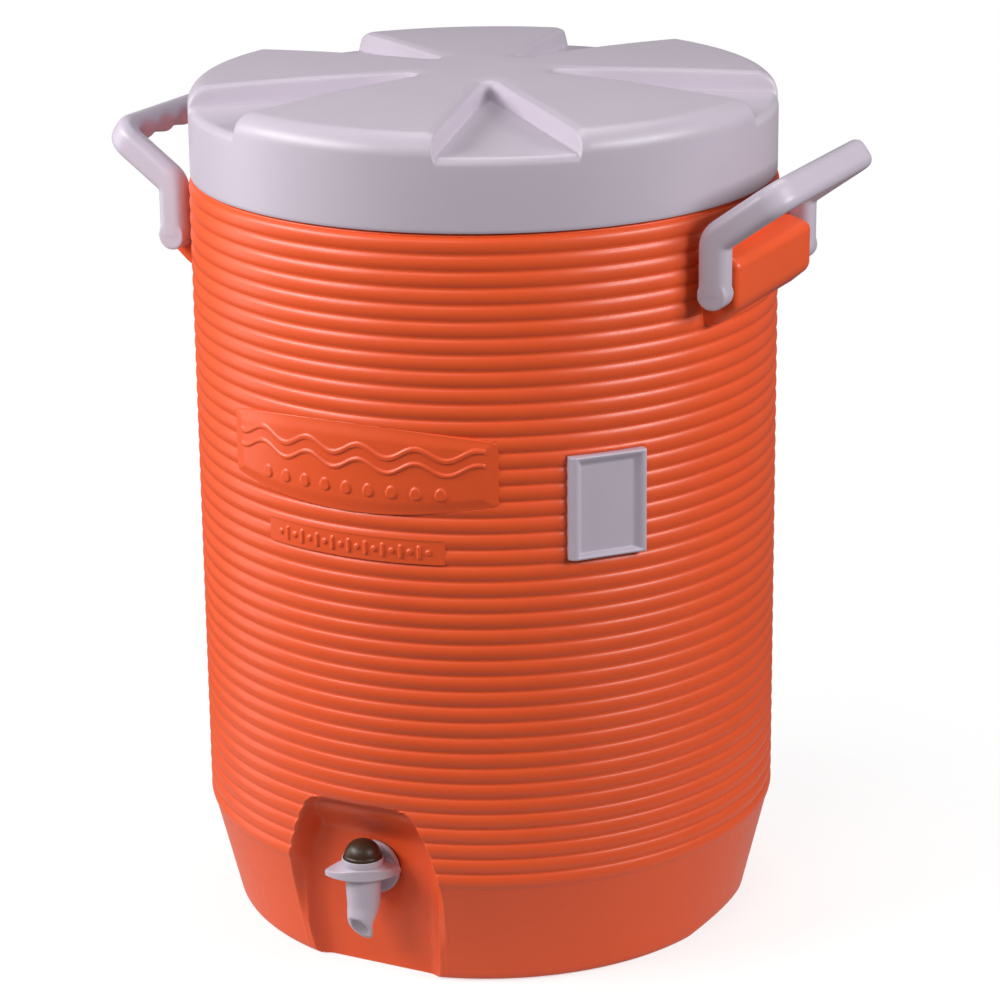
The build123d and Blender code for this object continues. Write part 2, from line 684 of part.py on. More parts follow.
def wedge_turns():
    return [WEDGE_FIRST + count * 360 / GRIP_WEDGES for count in range(GRIP_WEDGES)]


def lid_cap():
    cap = lid_form(0, LID_LOW)
    hollow = lid_form(WALL, LID_LOW)
    for turn in wedge_turns():
        cap -= grip_wedge(turn, 0)
        hollow -= grip_wedge(turn, WALL)
    return cap - hollow


def lid_pan():
    """Underside of the lid: threaded skirt, sealing land and shallow plug."""
    skirt_out = SKIRT_R + WALL
    points = [(0, PAN_LOW), (PLUG_R, PAN_LOW), (PLUG_R, PAN_LIP), (SKIRT_R, PAN_LIP)]
    points += [(SKIRT_R, PAN_FOOT), (LID_R - WALL, PAN_FOOT)]
    points += [(LID_R - WALL, PAN_FOOT + PAN_FOOT_THICK), (skirt_out, PAN_FOOT + PAN_FOOT_THICK)]
    points += [(skirt_out, PAN_TOP), (PLUG_R - WALL, PAN_TOP)]
    points += [(PLUG_R - WALL, PAN_LOW + WALL), (0, PAN_LOW + WALL)]
    pan = turned_points(points)
    for start in range(STARTS):
        turn = start * 360 / STARTS
        height = NECK_LUG_Z - LUG_DROP
        pan += screw_lug(SKIRT_R + LUG_SINK, SKIRT_R - LUG_HEIGHT, LID_LUG_ARC, height, turn)
    return pan - rod(LID_PLUG_HOLE, PAN_LOW - 1, PAN_LOW + WALL + 1)


def lid_plug():
    flange = rod(LID_PLUG_HOLE + PLUG_FLANGE, PAN_LOW - PLUG_FLANGE_THICK, PAN_LOW)
    return flange + rod(LID_PLUG_HOLE, PAN_LOW, PAN_LOW + WALL)


def lid_foam():
    skirt_out = SKIRT_R + WALL
    foot = PAN_FOOT + PAN_FOOT_THICK
    below = [(0, 0), (0, PAN_LOW + WALL), (PLUG_R - WALL, PAN_LOW + WALL)]
    below += [(PLUG_R - WALL, PAN_TOP), (skirt_out, PAN_TOP), (skirt_out, foot)]
    below += [(BEYOND, foot), (BEYOND, 0)]
    foam = lid_form(WALL, LID_LOW) - turned_points(below)
    for turn in wedge_turns():
        foam -= grip_wedge(turn, WALL)
    return foam


def lid_gasket():
    return tube(GASKET_OUT, GASKET_IN, RIM_TOP + GASKET_PLAY, PAN_LIP - GASKET_PLAY)


# ---- the nodes -------------------------------------------------------------
right_handle = handle_right()
right_pin = handle_pin(PIN_R, PIN_HALF)
nodes = {
    "outer_shell": outer_shell(),
    "inner_liner": inner_liner(),
    "foam_insulation": foam_insulation(),
    "base_fill_plug": base_plug(FILL_PLUG_R, 0),
    "base_vent_plug": base_plug(VENT_PLUG_R, VENT_PLUG_X),
    "handle_right": right_handle,
    "handle_left": mirror(right_handle, Plane.YZ),
    "handle_pin_right": right_pin,
    "handle_pin_left": mirror(right_pin, Plane.YZ),
    "cup_bracket": cup_bracket(),
    "bracket_push_nuts": bracket_push_nuts(),
    "spigot_body": spigot_body(),
    "spigot_bonnet": spigot_bonnet(),
    "spigot_button": spigot_button(),
    "spigot_stem": spigot_stem(),
    "spigot_washer": spigot_washer(),
    "stem_clip": stem_clip(),
    "stem_seal": stem_seal(),
    "spigot_spring": spigot_spring(),
    "spigot_gasket_outer": spigot_gasket_outer(),
    "spigot_gasket_inner": spigot_gasket_inner(),
    "spigot_nut": spigot_nut(),
    "lid_cap": lid_cap(),
    "lid_pan": lid_pan(),
    "lid_plug": lid_plug(),
    "lid_foam": lid_foam(),
    "lid_gasket": lid_gasket(),
}

os.makedirs("parts", exist_ok=True)
for name, shape in nodes.items():
    export_step(shape, f"parts/{name}.step")
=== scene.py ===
import bpy
import json
import math
import numpy as np
from mathutils import Matrix, Vector

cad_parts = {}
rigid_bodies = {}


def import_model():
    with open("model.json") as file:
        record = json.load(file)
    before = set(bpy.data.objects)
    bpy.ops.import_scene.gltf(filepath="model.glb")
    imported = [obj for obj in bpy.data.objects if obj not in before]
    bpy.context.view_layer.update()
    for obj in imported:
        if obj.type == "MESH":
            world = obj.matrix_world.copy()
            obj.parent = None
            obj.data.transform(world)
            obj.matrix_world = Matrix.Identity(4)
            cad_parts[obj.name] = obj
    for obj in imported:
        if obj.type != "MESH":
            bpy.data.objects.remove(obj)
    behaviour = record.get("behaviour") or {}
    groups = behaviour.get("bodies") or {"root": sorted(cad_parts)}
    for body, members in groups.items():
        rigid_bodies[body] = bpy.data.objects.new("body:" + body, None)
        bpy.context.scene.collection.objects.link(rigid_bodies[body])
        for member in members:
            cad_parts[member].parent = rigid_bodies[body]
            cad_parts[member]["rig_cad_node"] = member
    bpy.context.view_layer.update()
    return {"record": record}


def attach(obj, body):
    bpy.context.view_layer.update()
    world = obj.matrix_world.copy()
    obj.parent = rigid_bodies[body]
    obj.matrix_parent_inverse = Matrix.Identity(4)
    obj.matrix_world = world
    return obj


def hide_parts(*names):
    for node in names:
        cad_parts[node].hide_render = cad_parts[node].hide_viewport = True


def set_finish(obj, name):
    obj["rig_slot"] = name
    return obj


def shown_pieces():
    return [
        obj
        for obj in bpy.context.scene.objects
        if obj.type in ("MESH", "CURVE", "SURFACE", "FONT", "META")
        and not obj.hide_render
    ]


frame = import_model()

# Millimetres while shapes are worked out; meshes are written in metres.
# An angle round the body is counted from the spigot (-Y), positive towards +X.
MM = 0.001
FAR = 999.0                     # a distance that is outside every outline

# ribbed wall
CREST = 165.0                   # radius at the top of a rib
RIB_DEPTH = 1.4
VALLEY = CREST - RIB_DEPTH
RIB_LOW = 62.7                  # top of the smooth base band
RIB_PITCH = 8.915
RIBS = 41
RIB_TOP = RIB_LOW + RIBS * RIB_PITCH
WALL_TOP = 428.6                # edge of the shoulder
PLATE_SINK = 0.3                # the wall's drop under a plate that lies on it
FOOT_R = 148.5
FOOT_RISE = 5.5                 # height and inset of the rounding at the foot
FOOT_INSET = 4.0
SCOOP_R = 200.0                 # finger scoops under the foot, for tipping the cooler
SCOOP_AXIS = 197.0
NECK_R = 151.0

# recess round the spigot
RECESS_LEAST_D = 137.0          # what its floor's distance from the axis tends to, below the foot
RECESS_LEAN = 4.0               # how much further out its floor is behind the spigot
RECESS_FLAT = 35.0              # half width of its flat floor
RECESS_CORNER = 9.0
RECESS_TOP_RISE = 15.0
RECESS_PLAN_R = 163.0           # radius at which its outline is unrolled
RECESS_HALF_ANGLE = 0.6         # it lies within this angle of the spigot, in radians

# badge and strip
BADGE_HALF = 80.0               # half width
BADGE_MIDDLE = 301.05
BADGE_END = 17.6                # half height at the ends
BADGE_BOW = 7.4                 # and how much more it is in the middle
STRIP_HALF = 53.7               # half width
STRIP_MIDDLE = 257.0
STRIP_END = 7.0                 # half height

# cup-dispenser bracket
BRACKET_TURN = math.radians(49.5)
BRACKET_MIDDLE = 280.35
BRACKET_S = 22.0                # half width
BRACKET_Z = 28.65               # half height
BRACKET_FACE = 168.3            # distance of its rim from the axis
BRACKET_DEEP = 2.85
BRACKET_BACK = 160.5


# ---- small maths -----------------------------------------------------------
def ease(x, low, high):
    """0 below low, 1 above high and a smooth step between."""
    t = np.clip((x - low) / (high - low), 0, 1)
    return t * t * (3 - 2 * t)


def ring(x, middle, half):
    """Soft bump, 1 at the middle and 0 further than half away."""
    return 1 - ease(np.abs(x - middle), 0.35 * half, half)


def rounded_box(x, y, half_x, half_y, radius):
    """Signed distance to a rounded rectangle, negative inside."""
    qx, qy = np.abs(x) - half_x + radius, np.abs(y) - half_y + radius
    return np.hypot(np.maximum(qx, 0), np.maximum(qy, 0)) + np.minimum(np.maximum(qx, qy), 0) - radius


def spaced(*stops):
    """Increasing values through (value, step) stops: step is the spacing up to the next stop."""
    parts = []
    for (a, step), (b, _) in zip(stops, stops[1:]):
        count = max(1, round((b - a) / step))
        parts.append(np.linspace(a, b, count, endpoint=False))
    return np.append(np.concatenate(parts), stops[-1][0])


# ---- meshes ----------------------------------------------------------------
def add_mesh(name, verts, faces, smooth=True):
    """Object from points in millimetres."""
    mesh = bpy.data.meshes.new(name)
    mesh.from_pydata((np.asarray(verts, float) * MM).tolist(), [], [list(map(int, f)) for f in faces])
    mesh.validate()
    obj = bpy.data.objects.new(name, mesh)
    bpy.context.scene.collection.objects.link(obj)
    if smooth:
        mesh.polygons.foreach_set("use_smooth", [True] * len(mesh.polygons))
    mesh.update()
    return obj


def grid_faces(rows, cols, closed, flip=False):
    """Quads of a grid of points; closed joins its last column to its first."""
    r, c = np.meshgrid(np.arange(rows - 1), np.arange(cols if closed else cols - 1), indexing="ij")
    a, b = r * cols + c, r * cols + (c + 1) % cols
    quads = np.stack([a, b, b + cols, a + cols], -1).reshape(-1, 4)
    return quads[:, ::-1] if flip else quads


def grid_mesh(name, points, closed=False, flip=False):
    """Object from a (rows, columns, 3) array of points."""
    rows, cols = points.shape[:2]
    return add_mesh(name, points.reshape(-1, 3), grid_faces(rows, cols, closed, flip))


def lathe(name, profile, x=0.0, y=0.0, steps=72):
    """Surface of revolution of (radius, height) points about an upright line."""
    profile = np.asarray(profile, float)
    turn = np.linspace(0, 2 * math.pi, steps, endpoint=False)
    points = np.stack([
        x + profile[:, :1] * np.cos(turn), y + profile[:, :1] * np.sin(turn),
        np.repeat(profile[:, 1:], steps, 1),
    ], -1)
    return grid_mesh(name, points, closed=True)


def arc(cx, cy, radius, start, end, count):
    """Points of an arc in the (radius, height) plane, angles in degrees."""
    a = np.radians(np.linspace(start, end, count))
    return [(cx + radius * math.cos(t), cy + radius * math.sin(t)) for t in a]


def join(name, objs):
    """Puts several meshes into the first one."""
    bpy.ops.object.select_all(action="DESELECT")
    for o in objs:
        o.select_set(True)
    bpy.context.view_layer.objects.active = objs[0]
    if len(objs) > 1:
        bpy.ops.object.join()
    objs[0].name = name
    return objs[0]


def apply_modifiers(obj):
    """Replaces the mesh by the result of its modifiers."""
    graph = bpy.context.evaluated_depsgraph_get()
    made = bpy.data.meshes.new_from_object(obj.evaluated_get(graph))
    obj.modifiers.clear()
    obj.data = made
    return obj


def melt(obj, voxel, rounds, factor=0.5):
    """Fuses overlapping closed forms into one skin with soft fillets."""
    remesh = obj.modifiers.new("melt", "REMESH")
    remesh.mode = "VOXEL"
    remesh.voxel_size = voxel * MM
    remesh.use_smooth_shade = True
    soften = obj.modifiers.new("soften", "SMOOTH")
    soften.factor = factor
    soften.iterations = rounds
    return apply_modifiers(obj)


def cut(obj, tools):
    """Takes closed tool meshes away from a closed mesh."""
    for tool in tools:
        mod = obj.modifiers.new("cut", "BOOLEAN")
        mod.operation = "DIFFERENCE"
        mod.solver = "EXACT"
        mod.object = tool
        apply_modifiers(obj)
        bpy.data.objects.remove(tool)
    return obj


def outward(obj):
    """Turns every face of a closed mesh outwards."""
    bpy.ops.object.select_all(action="DESELECT")
    obj.select_set(True)
    bpy.context.view_layer.objects.active = obj
    bpy.ops.object.mode_set(mode="EDIT")
    bpy.ops.mesh.select_all(action="SELECT")
    bpy.ops.mesh.normals_make_consistent(inside=False)
    bpy.ops.object.mode_set(mode="OBJECT")
    return obj


def prism(name, outline, axis_from, axis_to, place):
    """Closed prism of an outline; place(u, v, w) turns local points into space."""
    n = len(outline)
    verts = [place(u, v, axis_from) for u, v in outline] + [place(u, v, axis_to) for u, v in outline]
    faces = [list(range(n))[::-1], list(range(n, 2 * n))]
    faces += [[i, (i + 1) % n, n + (i + 1) % n, n + i] for i in range(n)]
    return outward(add_mesh(name, verts, faces, smooth=False))


def rod(name, radius, start, end, steps=64):
    """Closed cylinder between two points."""
    start, end = Vector(start), Vector(end)
    along = (end - start).normalized()
    side = along.orthogonal().normalized()
    up = along.cross(side)
    verts, n = [], steps
    for p in (start, end):
        for k in range(n):
            t = 2 * math.pi * k / n
            verts.append(p + radius * (math.cos(t) * side + math.sin(t) * up))
    faces = [list(range(n))[::-1], list(range(n, 2 * n))]
    faces += [[i, (i + 1) % n, n + (i + 1) % n, n + i] for i in range(n)]
    return add_mesh(name, verts, faces, smooth=False)


# ---- the ribbed shell ------------------------------------------------------
def recess_depth(theta, z):
    """Distance of the recess floor from the axis along the angle: it leans in towards the foot."""
    s = np.abs(VALLEY * np.sin(theta))
    base = RECESS_LEAST_D + RECESS_LEAN * ease(z, -30, 50)
    fillet = np.clip(s - RECESS_FLAT, 0, RECESS_CORNER - 0.1)
    side = RECESS_CORNER - np.sqrt(RECESS_CORNER ** 2 - fillet ** 2)
    top = RECESS_TOP_RISE * ease(z, 78, 102)
    return (base + np.hypot(side, top)) / np.cos(theta)


def recess_mask(theta, z):
    """Signed distance in the unrolled wall to the recess's outer edge, negative inside."""
    s = RECESS_PLAN_R * theta
    edge_z = np.array([-20, 5, 30, 53, 68, 83.5, 93.7, 101.0, 104.6, 106.4])
    edge_angle = np.radians([17.0, 17.0, 17.2, 16.9, 16.2, 14.5, 13.0, 11.8, 10.4, 8.0])
    side = np.abs(s) - np.interp(z, edge_z, edge_angle * RECESS_PLAN_R)
    top = z - (106.6 - 0.010 * np.maximum(np.abs(s) - 12, 0) ** 1.3)
    blend = 3.2
    share = np.clip(0.5 + 0.5 * (side - top) / blend, 0, 1)
    return top * (1 - share) + side * share + blend * share * (1 - share)


def badge_distance(theta, z):
    """Signed distance to the badge's outline, taller in the middle than at its ends."""
    s = np.where(np.cos(theta) > 0, CREST * np.sin(theta), FAR)
    tallest = BADGE_END + BADGE_BOW
    half = BADGE_END + BADGE_BOW * np.clip(1 - (s / BADGE_HALF) ** 2, 0, 1)
    return rounded_box(s, (z - BADGE_MIDDLE) * tallest / half, BADGE_HALF, tallest, 3.0)


def badge_relief(theta, z):
    """Generic water relief: two wave bands over a row of drops."""
    s = CREST * np.sin(theta)
    inside = 1 - ease(badge_distance(theta, z), -7.0, -5.5)
    relief = 0
    for middle, half in ((311.5, 1.7), (303.5, 1.3)):
        wave = z - (middle + 3.0 * np.sin(s / 5.0))
        relief = relief + inside * (1 - ease(np.abs(wave), 0.55 * half, half))
    drop_z, drop_pitch = 289.5, 13.0
    cell = (np.abs(s) + drop_pitch / 2) % drop_pitch - drop_pitch / 2
    above = np.maximum(z - drop_z, 0)
    drop = np.hypot(cell, (z - drop_z) * np.where(z > drop_z, 0.55, 1.0)) + 0.2 * above
    inner = 1 - ease(np.abs(s), 58.0, 58.5)
    return relief + inner * (1 - ease(drop, 2.6, 3.3))


def strip_distance(theta, z):
    """Signed distance to the strip's outline."""
    s = np.where(np.cos(theta) > 0, CREST * np.sin(theta), FAR)
    return rounded_box(s, z - STRIP_MIDDLE, STRIP_HALF, STRIP_END, 1.5)


def strip_relief(theta, z):
    """Row of upright bars and dots."""
    s = CREST * np.sin(theta)
    half_pitch = 5.0
    cell = (np.abs(s) + half_pitch) % (2 * half_pitch) - half_pitch
    bar = rounded_box(cell, z - STRIP_MIDDLE, 1.0, 3.8, 0.9)
    dot = np.hypot(np.abs(cell) - half_pitch, z - STRIP_MIDDLE) - 1.5
    return np.where(np.abs(s) < 46.0, 0.8 * (1 - ease(np.minimum(bar, dot), -0.35, 0.35)), 0.0)


def wall_radius(theta, z):
    """Distance of the outer wall from the axis, for z from the foot to the shoulder."""
    taper = FOOT_R + (VALLEY - FOOT_R) * np.clip(z / RIB_LOW, 0, 1)
    phase = np.clip((z - RIB_LOW) / RIB_PITCH, 0, RIBS) % 1.0
    chord = 2 * phase - 1
    rib = VALLEY + RIB_DEPTH * (1 - chord ** 2) ** 0.9
    rib = rib - 0.12 * (1 - ease(1 - np.abs(chord), 0.0, 0.16))
    on_ribs = (z > RIB_LOW) & (z < RIB_TOP)
    r = np.where(on_ribs, rib, np.where(z >= RIB_TOP, VALLEY, taper))
    # sunk where the badge, the strip and the bracket lie over the grooves
    for plate in (badge_distance(theta, z), strip_distance(theta, z)):
        r = r + (1 - ease(plate, -2.2, -1.0)) * (VALLEY - PLATE_SINK - r)
    s = CREST * (theta - BRACKET_TURN)
    beside = rounded_box(s, z - BRACKET_MIDDLE, BRACKET_S + 0.5, BRACKET_Z + 0.5, 1.0)
    r = r + (1 - ease(beside, -0.3, 0.3)) * (VALLEY - PLATE_SINK - r)
    # smooth pads behind the handle blocks
    across = CREST * np.cos(theta)
    pad = rounded_box(across, z - 402.0, 54.0, 34.0, 4.0)
    inside = (1 - ease(pad, -1.6, 0.6)) * (np.abs(np.sin(theta)) > 0.5)
    return r + inside * (np.minimum(CREST - 0.15, VALLEY + 1.3) - r)


def shell_points(thetas, rows):
    """Grid of the wall: one row of points for each height in rows."""
    z = rows[:, None] + 0 * thetas[None, :]
    t = thetas[None, :] + 0 * z
    r = wall_radius(t, z)
    # foot rounding
    low = 1 - np.clip(z, 0, FOOT_RISE) / FOOT_RISE
    r = r - FOOT_INSET * (1 - np.sqrt(1 - low ** 2))
    # shoulder edge
    r = r - ease(z, WALL_TOP - 1.0, WALL_TOP) ** 2
    # recess with soft rolled edges
    mask = recess_mask(t, z)
    mask = np.where(np.abs(t) < RECESS_HALF_ANGLE, mask, FAR)
    deep = np.minimum(recess_depth(t, z), r)
    roll = ease(-mask, -0.8, 3.4)
    r = r * (1 - roll) + deep * roll
    # a narrow lip that catches the light round the recess
    r = r + 0.25 * ring(mask, 0.6, 1.6) * (z > 2)
    # tipping scoops at the sides
    y = -r * np.cos(t)
    scoop = np.sqrt(np.maximum(SCOOP_R ** 2 - y ** 2, 0)) - SCOOP_AXIS
    at_side = (np.abs(np.sin(t)) > 0.7) & (z < 12)
    lifted = np.where(at_side, np.maximum(scoop, 0) * (1 - z / 12), 0)
    return np.stack([r * np.sin(t), -r * np.cos(t), z + lifted], -1)


def vertex_normals(points):
    """Unit normals of a grid that closes round the second direction."""
    du = np.roll(points, -1, 1) - np.roll(points, 1, 1)
    dv = np.gradient(points, axis=0)
    n = np.cross(du, dv)
    return n / np.maximum(np.linalg.norm(n, axis=-1, keepdims=True), 1e-12)


def grid_part(name, points, normals, columns):
    """Some columns of the wall as a piece, with the whole wall's normals along its cut."""
    part = points[:, columns]
    obj = grid_mesh(name, part)
    obj.data.normals_split_custom_set_from_vertices(normals[:, columns].reshape(-1, 3).tolist())
    return obj


def build_shell():
    """Wall in three pieces, finer where its outline needs it, with the neck and the foot."""
    front = spaced((-26, 0.45), (-18.5, 0.28), (-10, 0.36), (10, 0.28), (18.5, 0.45), (26, 0.45))
    round_the_back = spaced((26, 0.4), (31, 1.4), (69, 0.9), (72, 1.4), (108, 0.9), (111, 1.4), (249, 0.9),
                            (252, 1.4), (288, 0.9), (291, 1.4), (329, 0.4), (334, 0.45))
    degrees = np.concatenate([front[:-1], round_the_back[:-1]])
    fine, coarse = RIB_PITCH / 10, RIB_PITCH / 8
    rows = spaced((0, 0.5), (6, 1.4), (60, 0.7), (RIB_LOW, fine), (RIB_LOW + 5 * RIB_PITCH, coarse),
                  (RIB_LOW + 21 * RIB_PITCH, fine), (RIB_LOW + 30 * RIB_PITCH, coarse),
                  (RIB_TOP, 0.15), (WALL_TOP, 0.15))
    points = shell_points(np.radians(degrees), rows)
    normals = vertex_normals(points)
    count, split = len(degrees), len(front) - 1
    half = split + (count - split) // 2
    parts = [
        grid_part("shell_front", points, normals, np.arange(0, split + 1)),
        grid_part("shell_side_right", points, normals, np.arange(split, half + 1)),
        grid_part("shell_side_left", points, normals, np.append(np.arange(half, count), 0)),
    ]
    # shoulder and neck above the wall
    edge = points[-1]
    radii = np.hypot(edge[:, 0], edge[:, 1])[:, None]
    unit = edge[:, :2] / radii
    profile = [(163.0, 429.0), (162.2, 429.6), (161.0, 430.0), (152.2, 430.1), (151.3, 430.7)]
    profile += [(NECK_R, 431.5), (NECK_R, 454.2), (150.4, 454.9), (148.6, 454.9)]
    upper = [np.concatenate([unit * radii, np.full((count, 1), WALL_TOP)], 1)]
    for radius, height in profile:
        upper.append(np.concatenate([unit * radius, np.full((count, 1), height)], 1))
    parts.append(grid_mesh("shell_neck", np.array(upper), closed=True))
    # foot ring and underside
    edge = points[0]
    radii = np.hypot(edge[:, 0], edge[:, 1])[:, None]
    lower = [edge]
    profile = [(132.2, 6.0, 0), (131.0, 7.5, 0.4), (129.0, 7.5, 3.2), (127.6, 7.5, 4.0)]
    profile += [(60.0, 7.5, 4.0), (0.05, 7.5, 4.0)]
    for radius, inset, height in profile:
        r = np.minimum(radii - inset, radius)
        y = (unit * r)[:, 1:]
        scoop = np.maximum(np.sqrt(np.maximum(SCOOP_R ** 2 - y ** 2, 0)) - SCOOP_AXIS, 0)
        z = np.where((np.abs(unit[:, :1]) > 0.7) & (r > 128), np.maximum(scoop, height), height)
        lower.append(np.concatenate([unit * r, z], 1))
    parts.append(grid_mesh("shell_foot", np.array(lower), closed=True, flip=True))
    return parts


def build_plate(name, half_s, low, high, distance, surface):
    """Smooth plate over the grooves; its rim runs down into the wall."""
    s = np.linspace(-half_s, half_s, round(half_s / 0.22))
    z = np.linspace(low, high, round((high - low) / 0.42))
    zz, ss = np.meshgrid(z, s, indexing="ij")
    theta = np.arcsin(ss / CREST)
    sunk = VALLEY - 0.8
    edge = 1 - ease(distance(theta, zz), -0.35, 0.35)
    r = sunk + edge * (surface(theta, zz) - sunk)
    return grid_mesh(name, np.stack([r * np.sin(theta), -r * np.cos(theta), zz], -1))


def badge_surface(theta, z):
    """Radius of the badge's pillowed face with its relief."""
    pillow = 1.2 * ease(-badge_distance(theta, z), 0.2, 9.0)
    return CREST + pillow + 0.8 * badge_relief(theta, z)


def strip_surface(theta, z):
    """Radius of the strip's face with its relief."""
    return CREST - 0.1 + strip_relief(theta, z)


def build_block(side, name):
    """Handle block: sloped top and foot, rounded edges."""
    profile = [(150, 367.6), (163.6, 368.0), (177.0, 379.5), (177.0, 404.5), (165.0, 408.0), (150, 409.5)]
    obj = prism(name, profile, -52.0, 52.0, lambda u, v, w: (side * u, w, v))
    bevel = obj.modifiers.new("edges", "BEVEL")
    bevel.width = 4.2 * MM
    bevel.segments = 6
    bevel.limit_method = "ANGLE"
    bevel.angle_limit = math.radians(20)
    bevel.harden_normals = False
    apply_modifiers(obj)
    obj.data.polygons.foreach_set("use_smooth", [True] * len(obj.data.polygons))
    keep = obj.modifiers.new("weights", "WEIGHTED_NORMAL")
    keep.keep_sharp = True
    return apply_modifiers(obj)


SCREW_LEAD = 36.0
LUG_TIP = 154.0
LUG_MIDDLE = 446.0


def lug(name, root, tip, middle, turn, span):
    """One helical screw lug with tapered ends, on the neck."""
    steps, rows = 48, []
    for k in range(steps + 1):
        share = k / steps - 0.5
        angle = math.radians(turn + share * span)
        fade = min(1.0, (0.5 - abs(share)) * 14)
        high = root + (tip - root) * fade
        z = middle + share * span / 360 * SCREW_LEAD
        section = [(root - 0.6, -2.2), (high - 0.3, -1.4), (high, -1.0)]
        section += [(r, -dz) for r, dz in reversed(section)]
        for r, dz in section:
            rows.append((r * math.cos(angle), r * math.sin(angle), z + dz))
    return grid_mesh(name, np.array(rows).reshape(steps + 1, 6, 3), flip=True)


shell_parts = build_shell()
plates = [
    build_plate("badge_panel", 81.0, 275.0, 327.0, badge_distance, badge_surface),
    build_plate("strip_panel", 55.0, 249.0, 265.0, strip_distance, strip_surface),
]
block_right, block_left = build_block(1, "block_right"), build_block(-1, "block_left")
lugs = [lug(f"neck_lug_{k}", NECK_R, LUG_TIP, LUG_MIDDLE, 90.0 * k, 60.0) for k in range(4)]
for part in [*shell_parts, *plates, block_right, block_left, *lugs]:
    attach(part, "cooler")
    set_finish(part, "shell_orange")
    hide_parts("outer_shell")


# ---- lid -------------------------------------------------------------------
LID_R, SIDE_TOP, ROUND, CROWN = 164.0, 470.0, 12.0, 487.0
WEDGE_TURNS = [31.3 + 72 * k for k in range(5)]
WEDGE_ANGLE = math.radians(16.9)
HALF_SECTOR = math.radians(36)
SECTOR_END = 2.0                # a sector's columns run from minus this to this
EDGE_AT = 0.86                  # and the wedge's edges lie at minus this and this


def lid_crown(r):
    """Height of the shallow dome with its rounded rim."""
    rise = CROWN - (SIDE_TOP + ROUND)
    inner = LID_R - ROUND
    sphere = (inner ** 2 + rise ** 2) / (2 * rise)
    dome = CROWN - (sphere - np.sqrt(sphere ** 2 - np.minimum(r, inner) ** 2))
    curl = ROUND - np.sqrt(np.maximum(ROUND ** 2 - np.maximum(r - inner, 0) ** 2, 0))
    return dome - curl


def lid_floor(r):
    """Sloping floor of a grip wedge, rolled over at the rim."""
    z = 477.0 - 7.0 * np.clip((r - 32.0) / 132.0, 0, 1)
    roll = 4.5
    over = np.maximum(r - (LID_R - roll), 0)
    return z - (roll - np.sqrt(np.maximum(roll ** 2 - over ** 2, 0)))


def wedge_distance(x, y):
    """Signed distance in plan to a wedge that opens along +x, negative inside."""
    tip_r = 4.0
    centre = 45.8
    dx = x - centre
    ay = np.abs(y)
    along = dx * math.cos(WEDGE_ANGLE) + ay * math.sin(WEDGE_ANGLE)
    side = ay * math.cos(WEDGE_ANGLE) - dx * math.sin(WEDGE_ANGLE) - tip_r
    return np.where(along > 0, side, np.hypot(dx, ay) - tip_r)


def build_lid():
    """Lid top with five finger wedges, its rounded rim and its side."""
    radii = np.concatenate([
        spaced((0.05, 4), (34, 0.9), (56, 1.8), (LID_R - ROUND, 1)),
        (LID_R - ROUND + ROUND * np.sin(np.radians(np.linspace(6, 90, 20)))),
    ])
    # each ring's columns follow the wedge's edges
    stops = [(0.0, 0), (0.55, 5), (0.74, 6), (0.98, 24), (1.30, 8), (SECTOR_END, 7)]
    pairs = zip(stops, stops[1:])
    u = np.concatenate([np.linspace(a[0], b[0], b[1], endpoint=False) for a, b in pairs])
    u = np.concatenate([-u[::-1], u[1:], [SECTOR_END]])
    edge = []
    for r in radii:
        rr = max(r, 46.0)
        span = np.linspace(0, HALF_SECTOR, 400)
        d = wedge_distance(rr * np.cos(span), rr * np.sin(span))
        edge.append(span[np.argmin(np.abs(d))])
    edge = np.maximum(np.array(edge), math.radians(5.5))
    a, e = np.abs(u)[None, :], edge[:, None]
    inner = a / EDGE_AT * e
    outer = e + (HALF_SECTOR - e) * (a - EDGE_AT) / (SECTOR_END - EDGE_AT)
    sector = np.where(a < EDGE_AT, inner, outer) * np.sign(u)[None, :]
    local = np.tile(sector, (1, len(WEDGE_TURNS)))
    centre = np.repeat(np.radians(WEDGE_TURNS), len(u))[None, :]
    r = radii[:, None] + 0 * local
    d = wedge_distance(r * np.cos(local), r * np.sin(local))
    depth_share = np.clip((r - 41.0) / 30.0, 0, 1)
    width = 2.0 + 5.6 * (1 - depth_share)
    raised = 0.88 * ease(d, -0.6 * width, 0.4 * width) + 0.12 * ease(d, -0.5 * width, width + 3.5)
    crown, floor = lid_crown(r), lid_floor(r)
    z = floor + (crown - floor) * raised
    theta = centre + local
    top = np.stack([r * np.sin(theta), -r * np.cos(theta), z], -1)
    # side wall below the rim
    rim = top[-1]
    unit = rim[:, :2] / LID_R
    rows = []
    for share in (0.12, 0.35, 0.6, 0.85, 0.97):
        height = rim[:, 2] + (431.6 - rim[:, 2]) * share
        rows.append(np.concatenate([unit * LID_R, height[:, None]], 1))
    lower_edge = [(163.95, 431.0), (163.6, 430.6), (163.0, 430.42), (162.0, 430.42)]
    lower_edge += [(161.3, 430.9), (161.2, 434.0)]
    for radius, height in lower_edge:
        rows.append(np.concatenate([unit * radius, np.full((len(unit), 1), height)], 1))
    points = np.concatenate([top, np.array(rows)], 0)
    return grid_mesh("lid_shell", points, closed=True, flip=True)


lid_shell = build_lid()
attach(lid_shell, "lid")
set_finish(lid_shell, "lid_white")
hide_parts("lid_cap")


# ---- handles ---------------------------------------------------------------
PIVOT, BEND, GRIP, LEG_S = (166.6, 388.5), (166.6, 418.2), (202.1, 443.9), 60.0
BAR_WIDE, BAR_THICK, BAR_CORNER = 17.3, 13.3, 5.4
KNUCKLE_R, KNUCKLE_HALF = 8.25, 6.3
SCALLOP_PITCH, SCALLOP_DEPTH = 21.0, 2.3


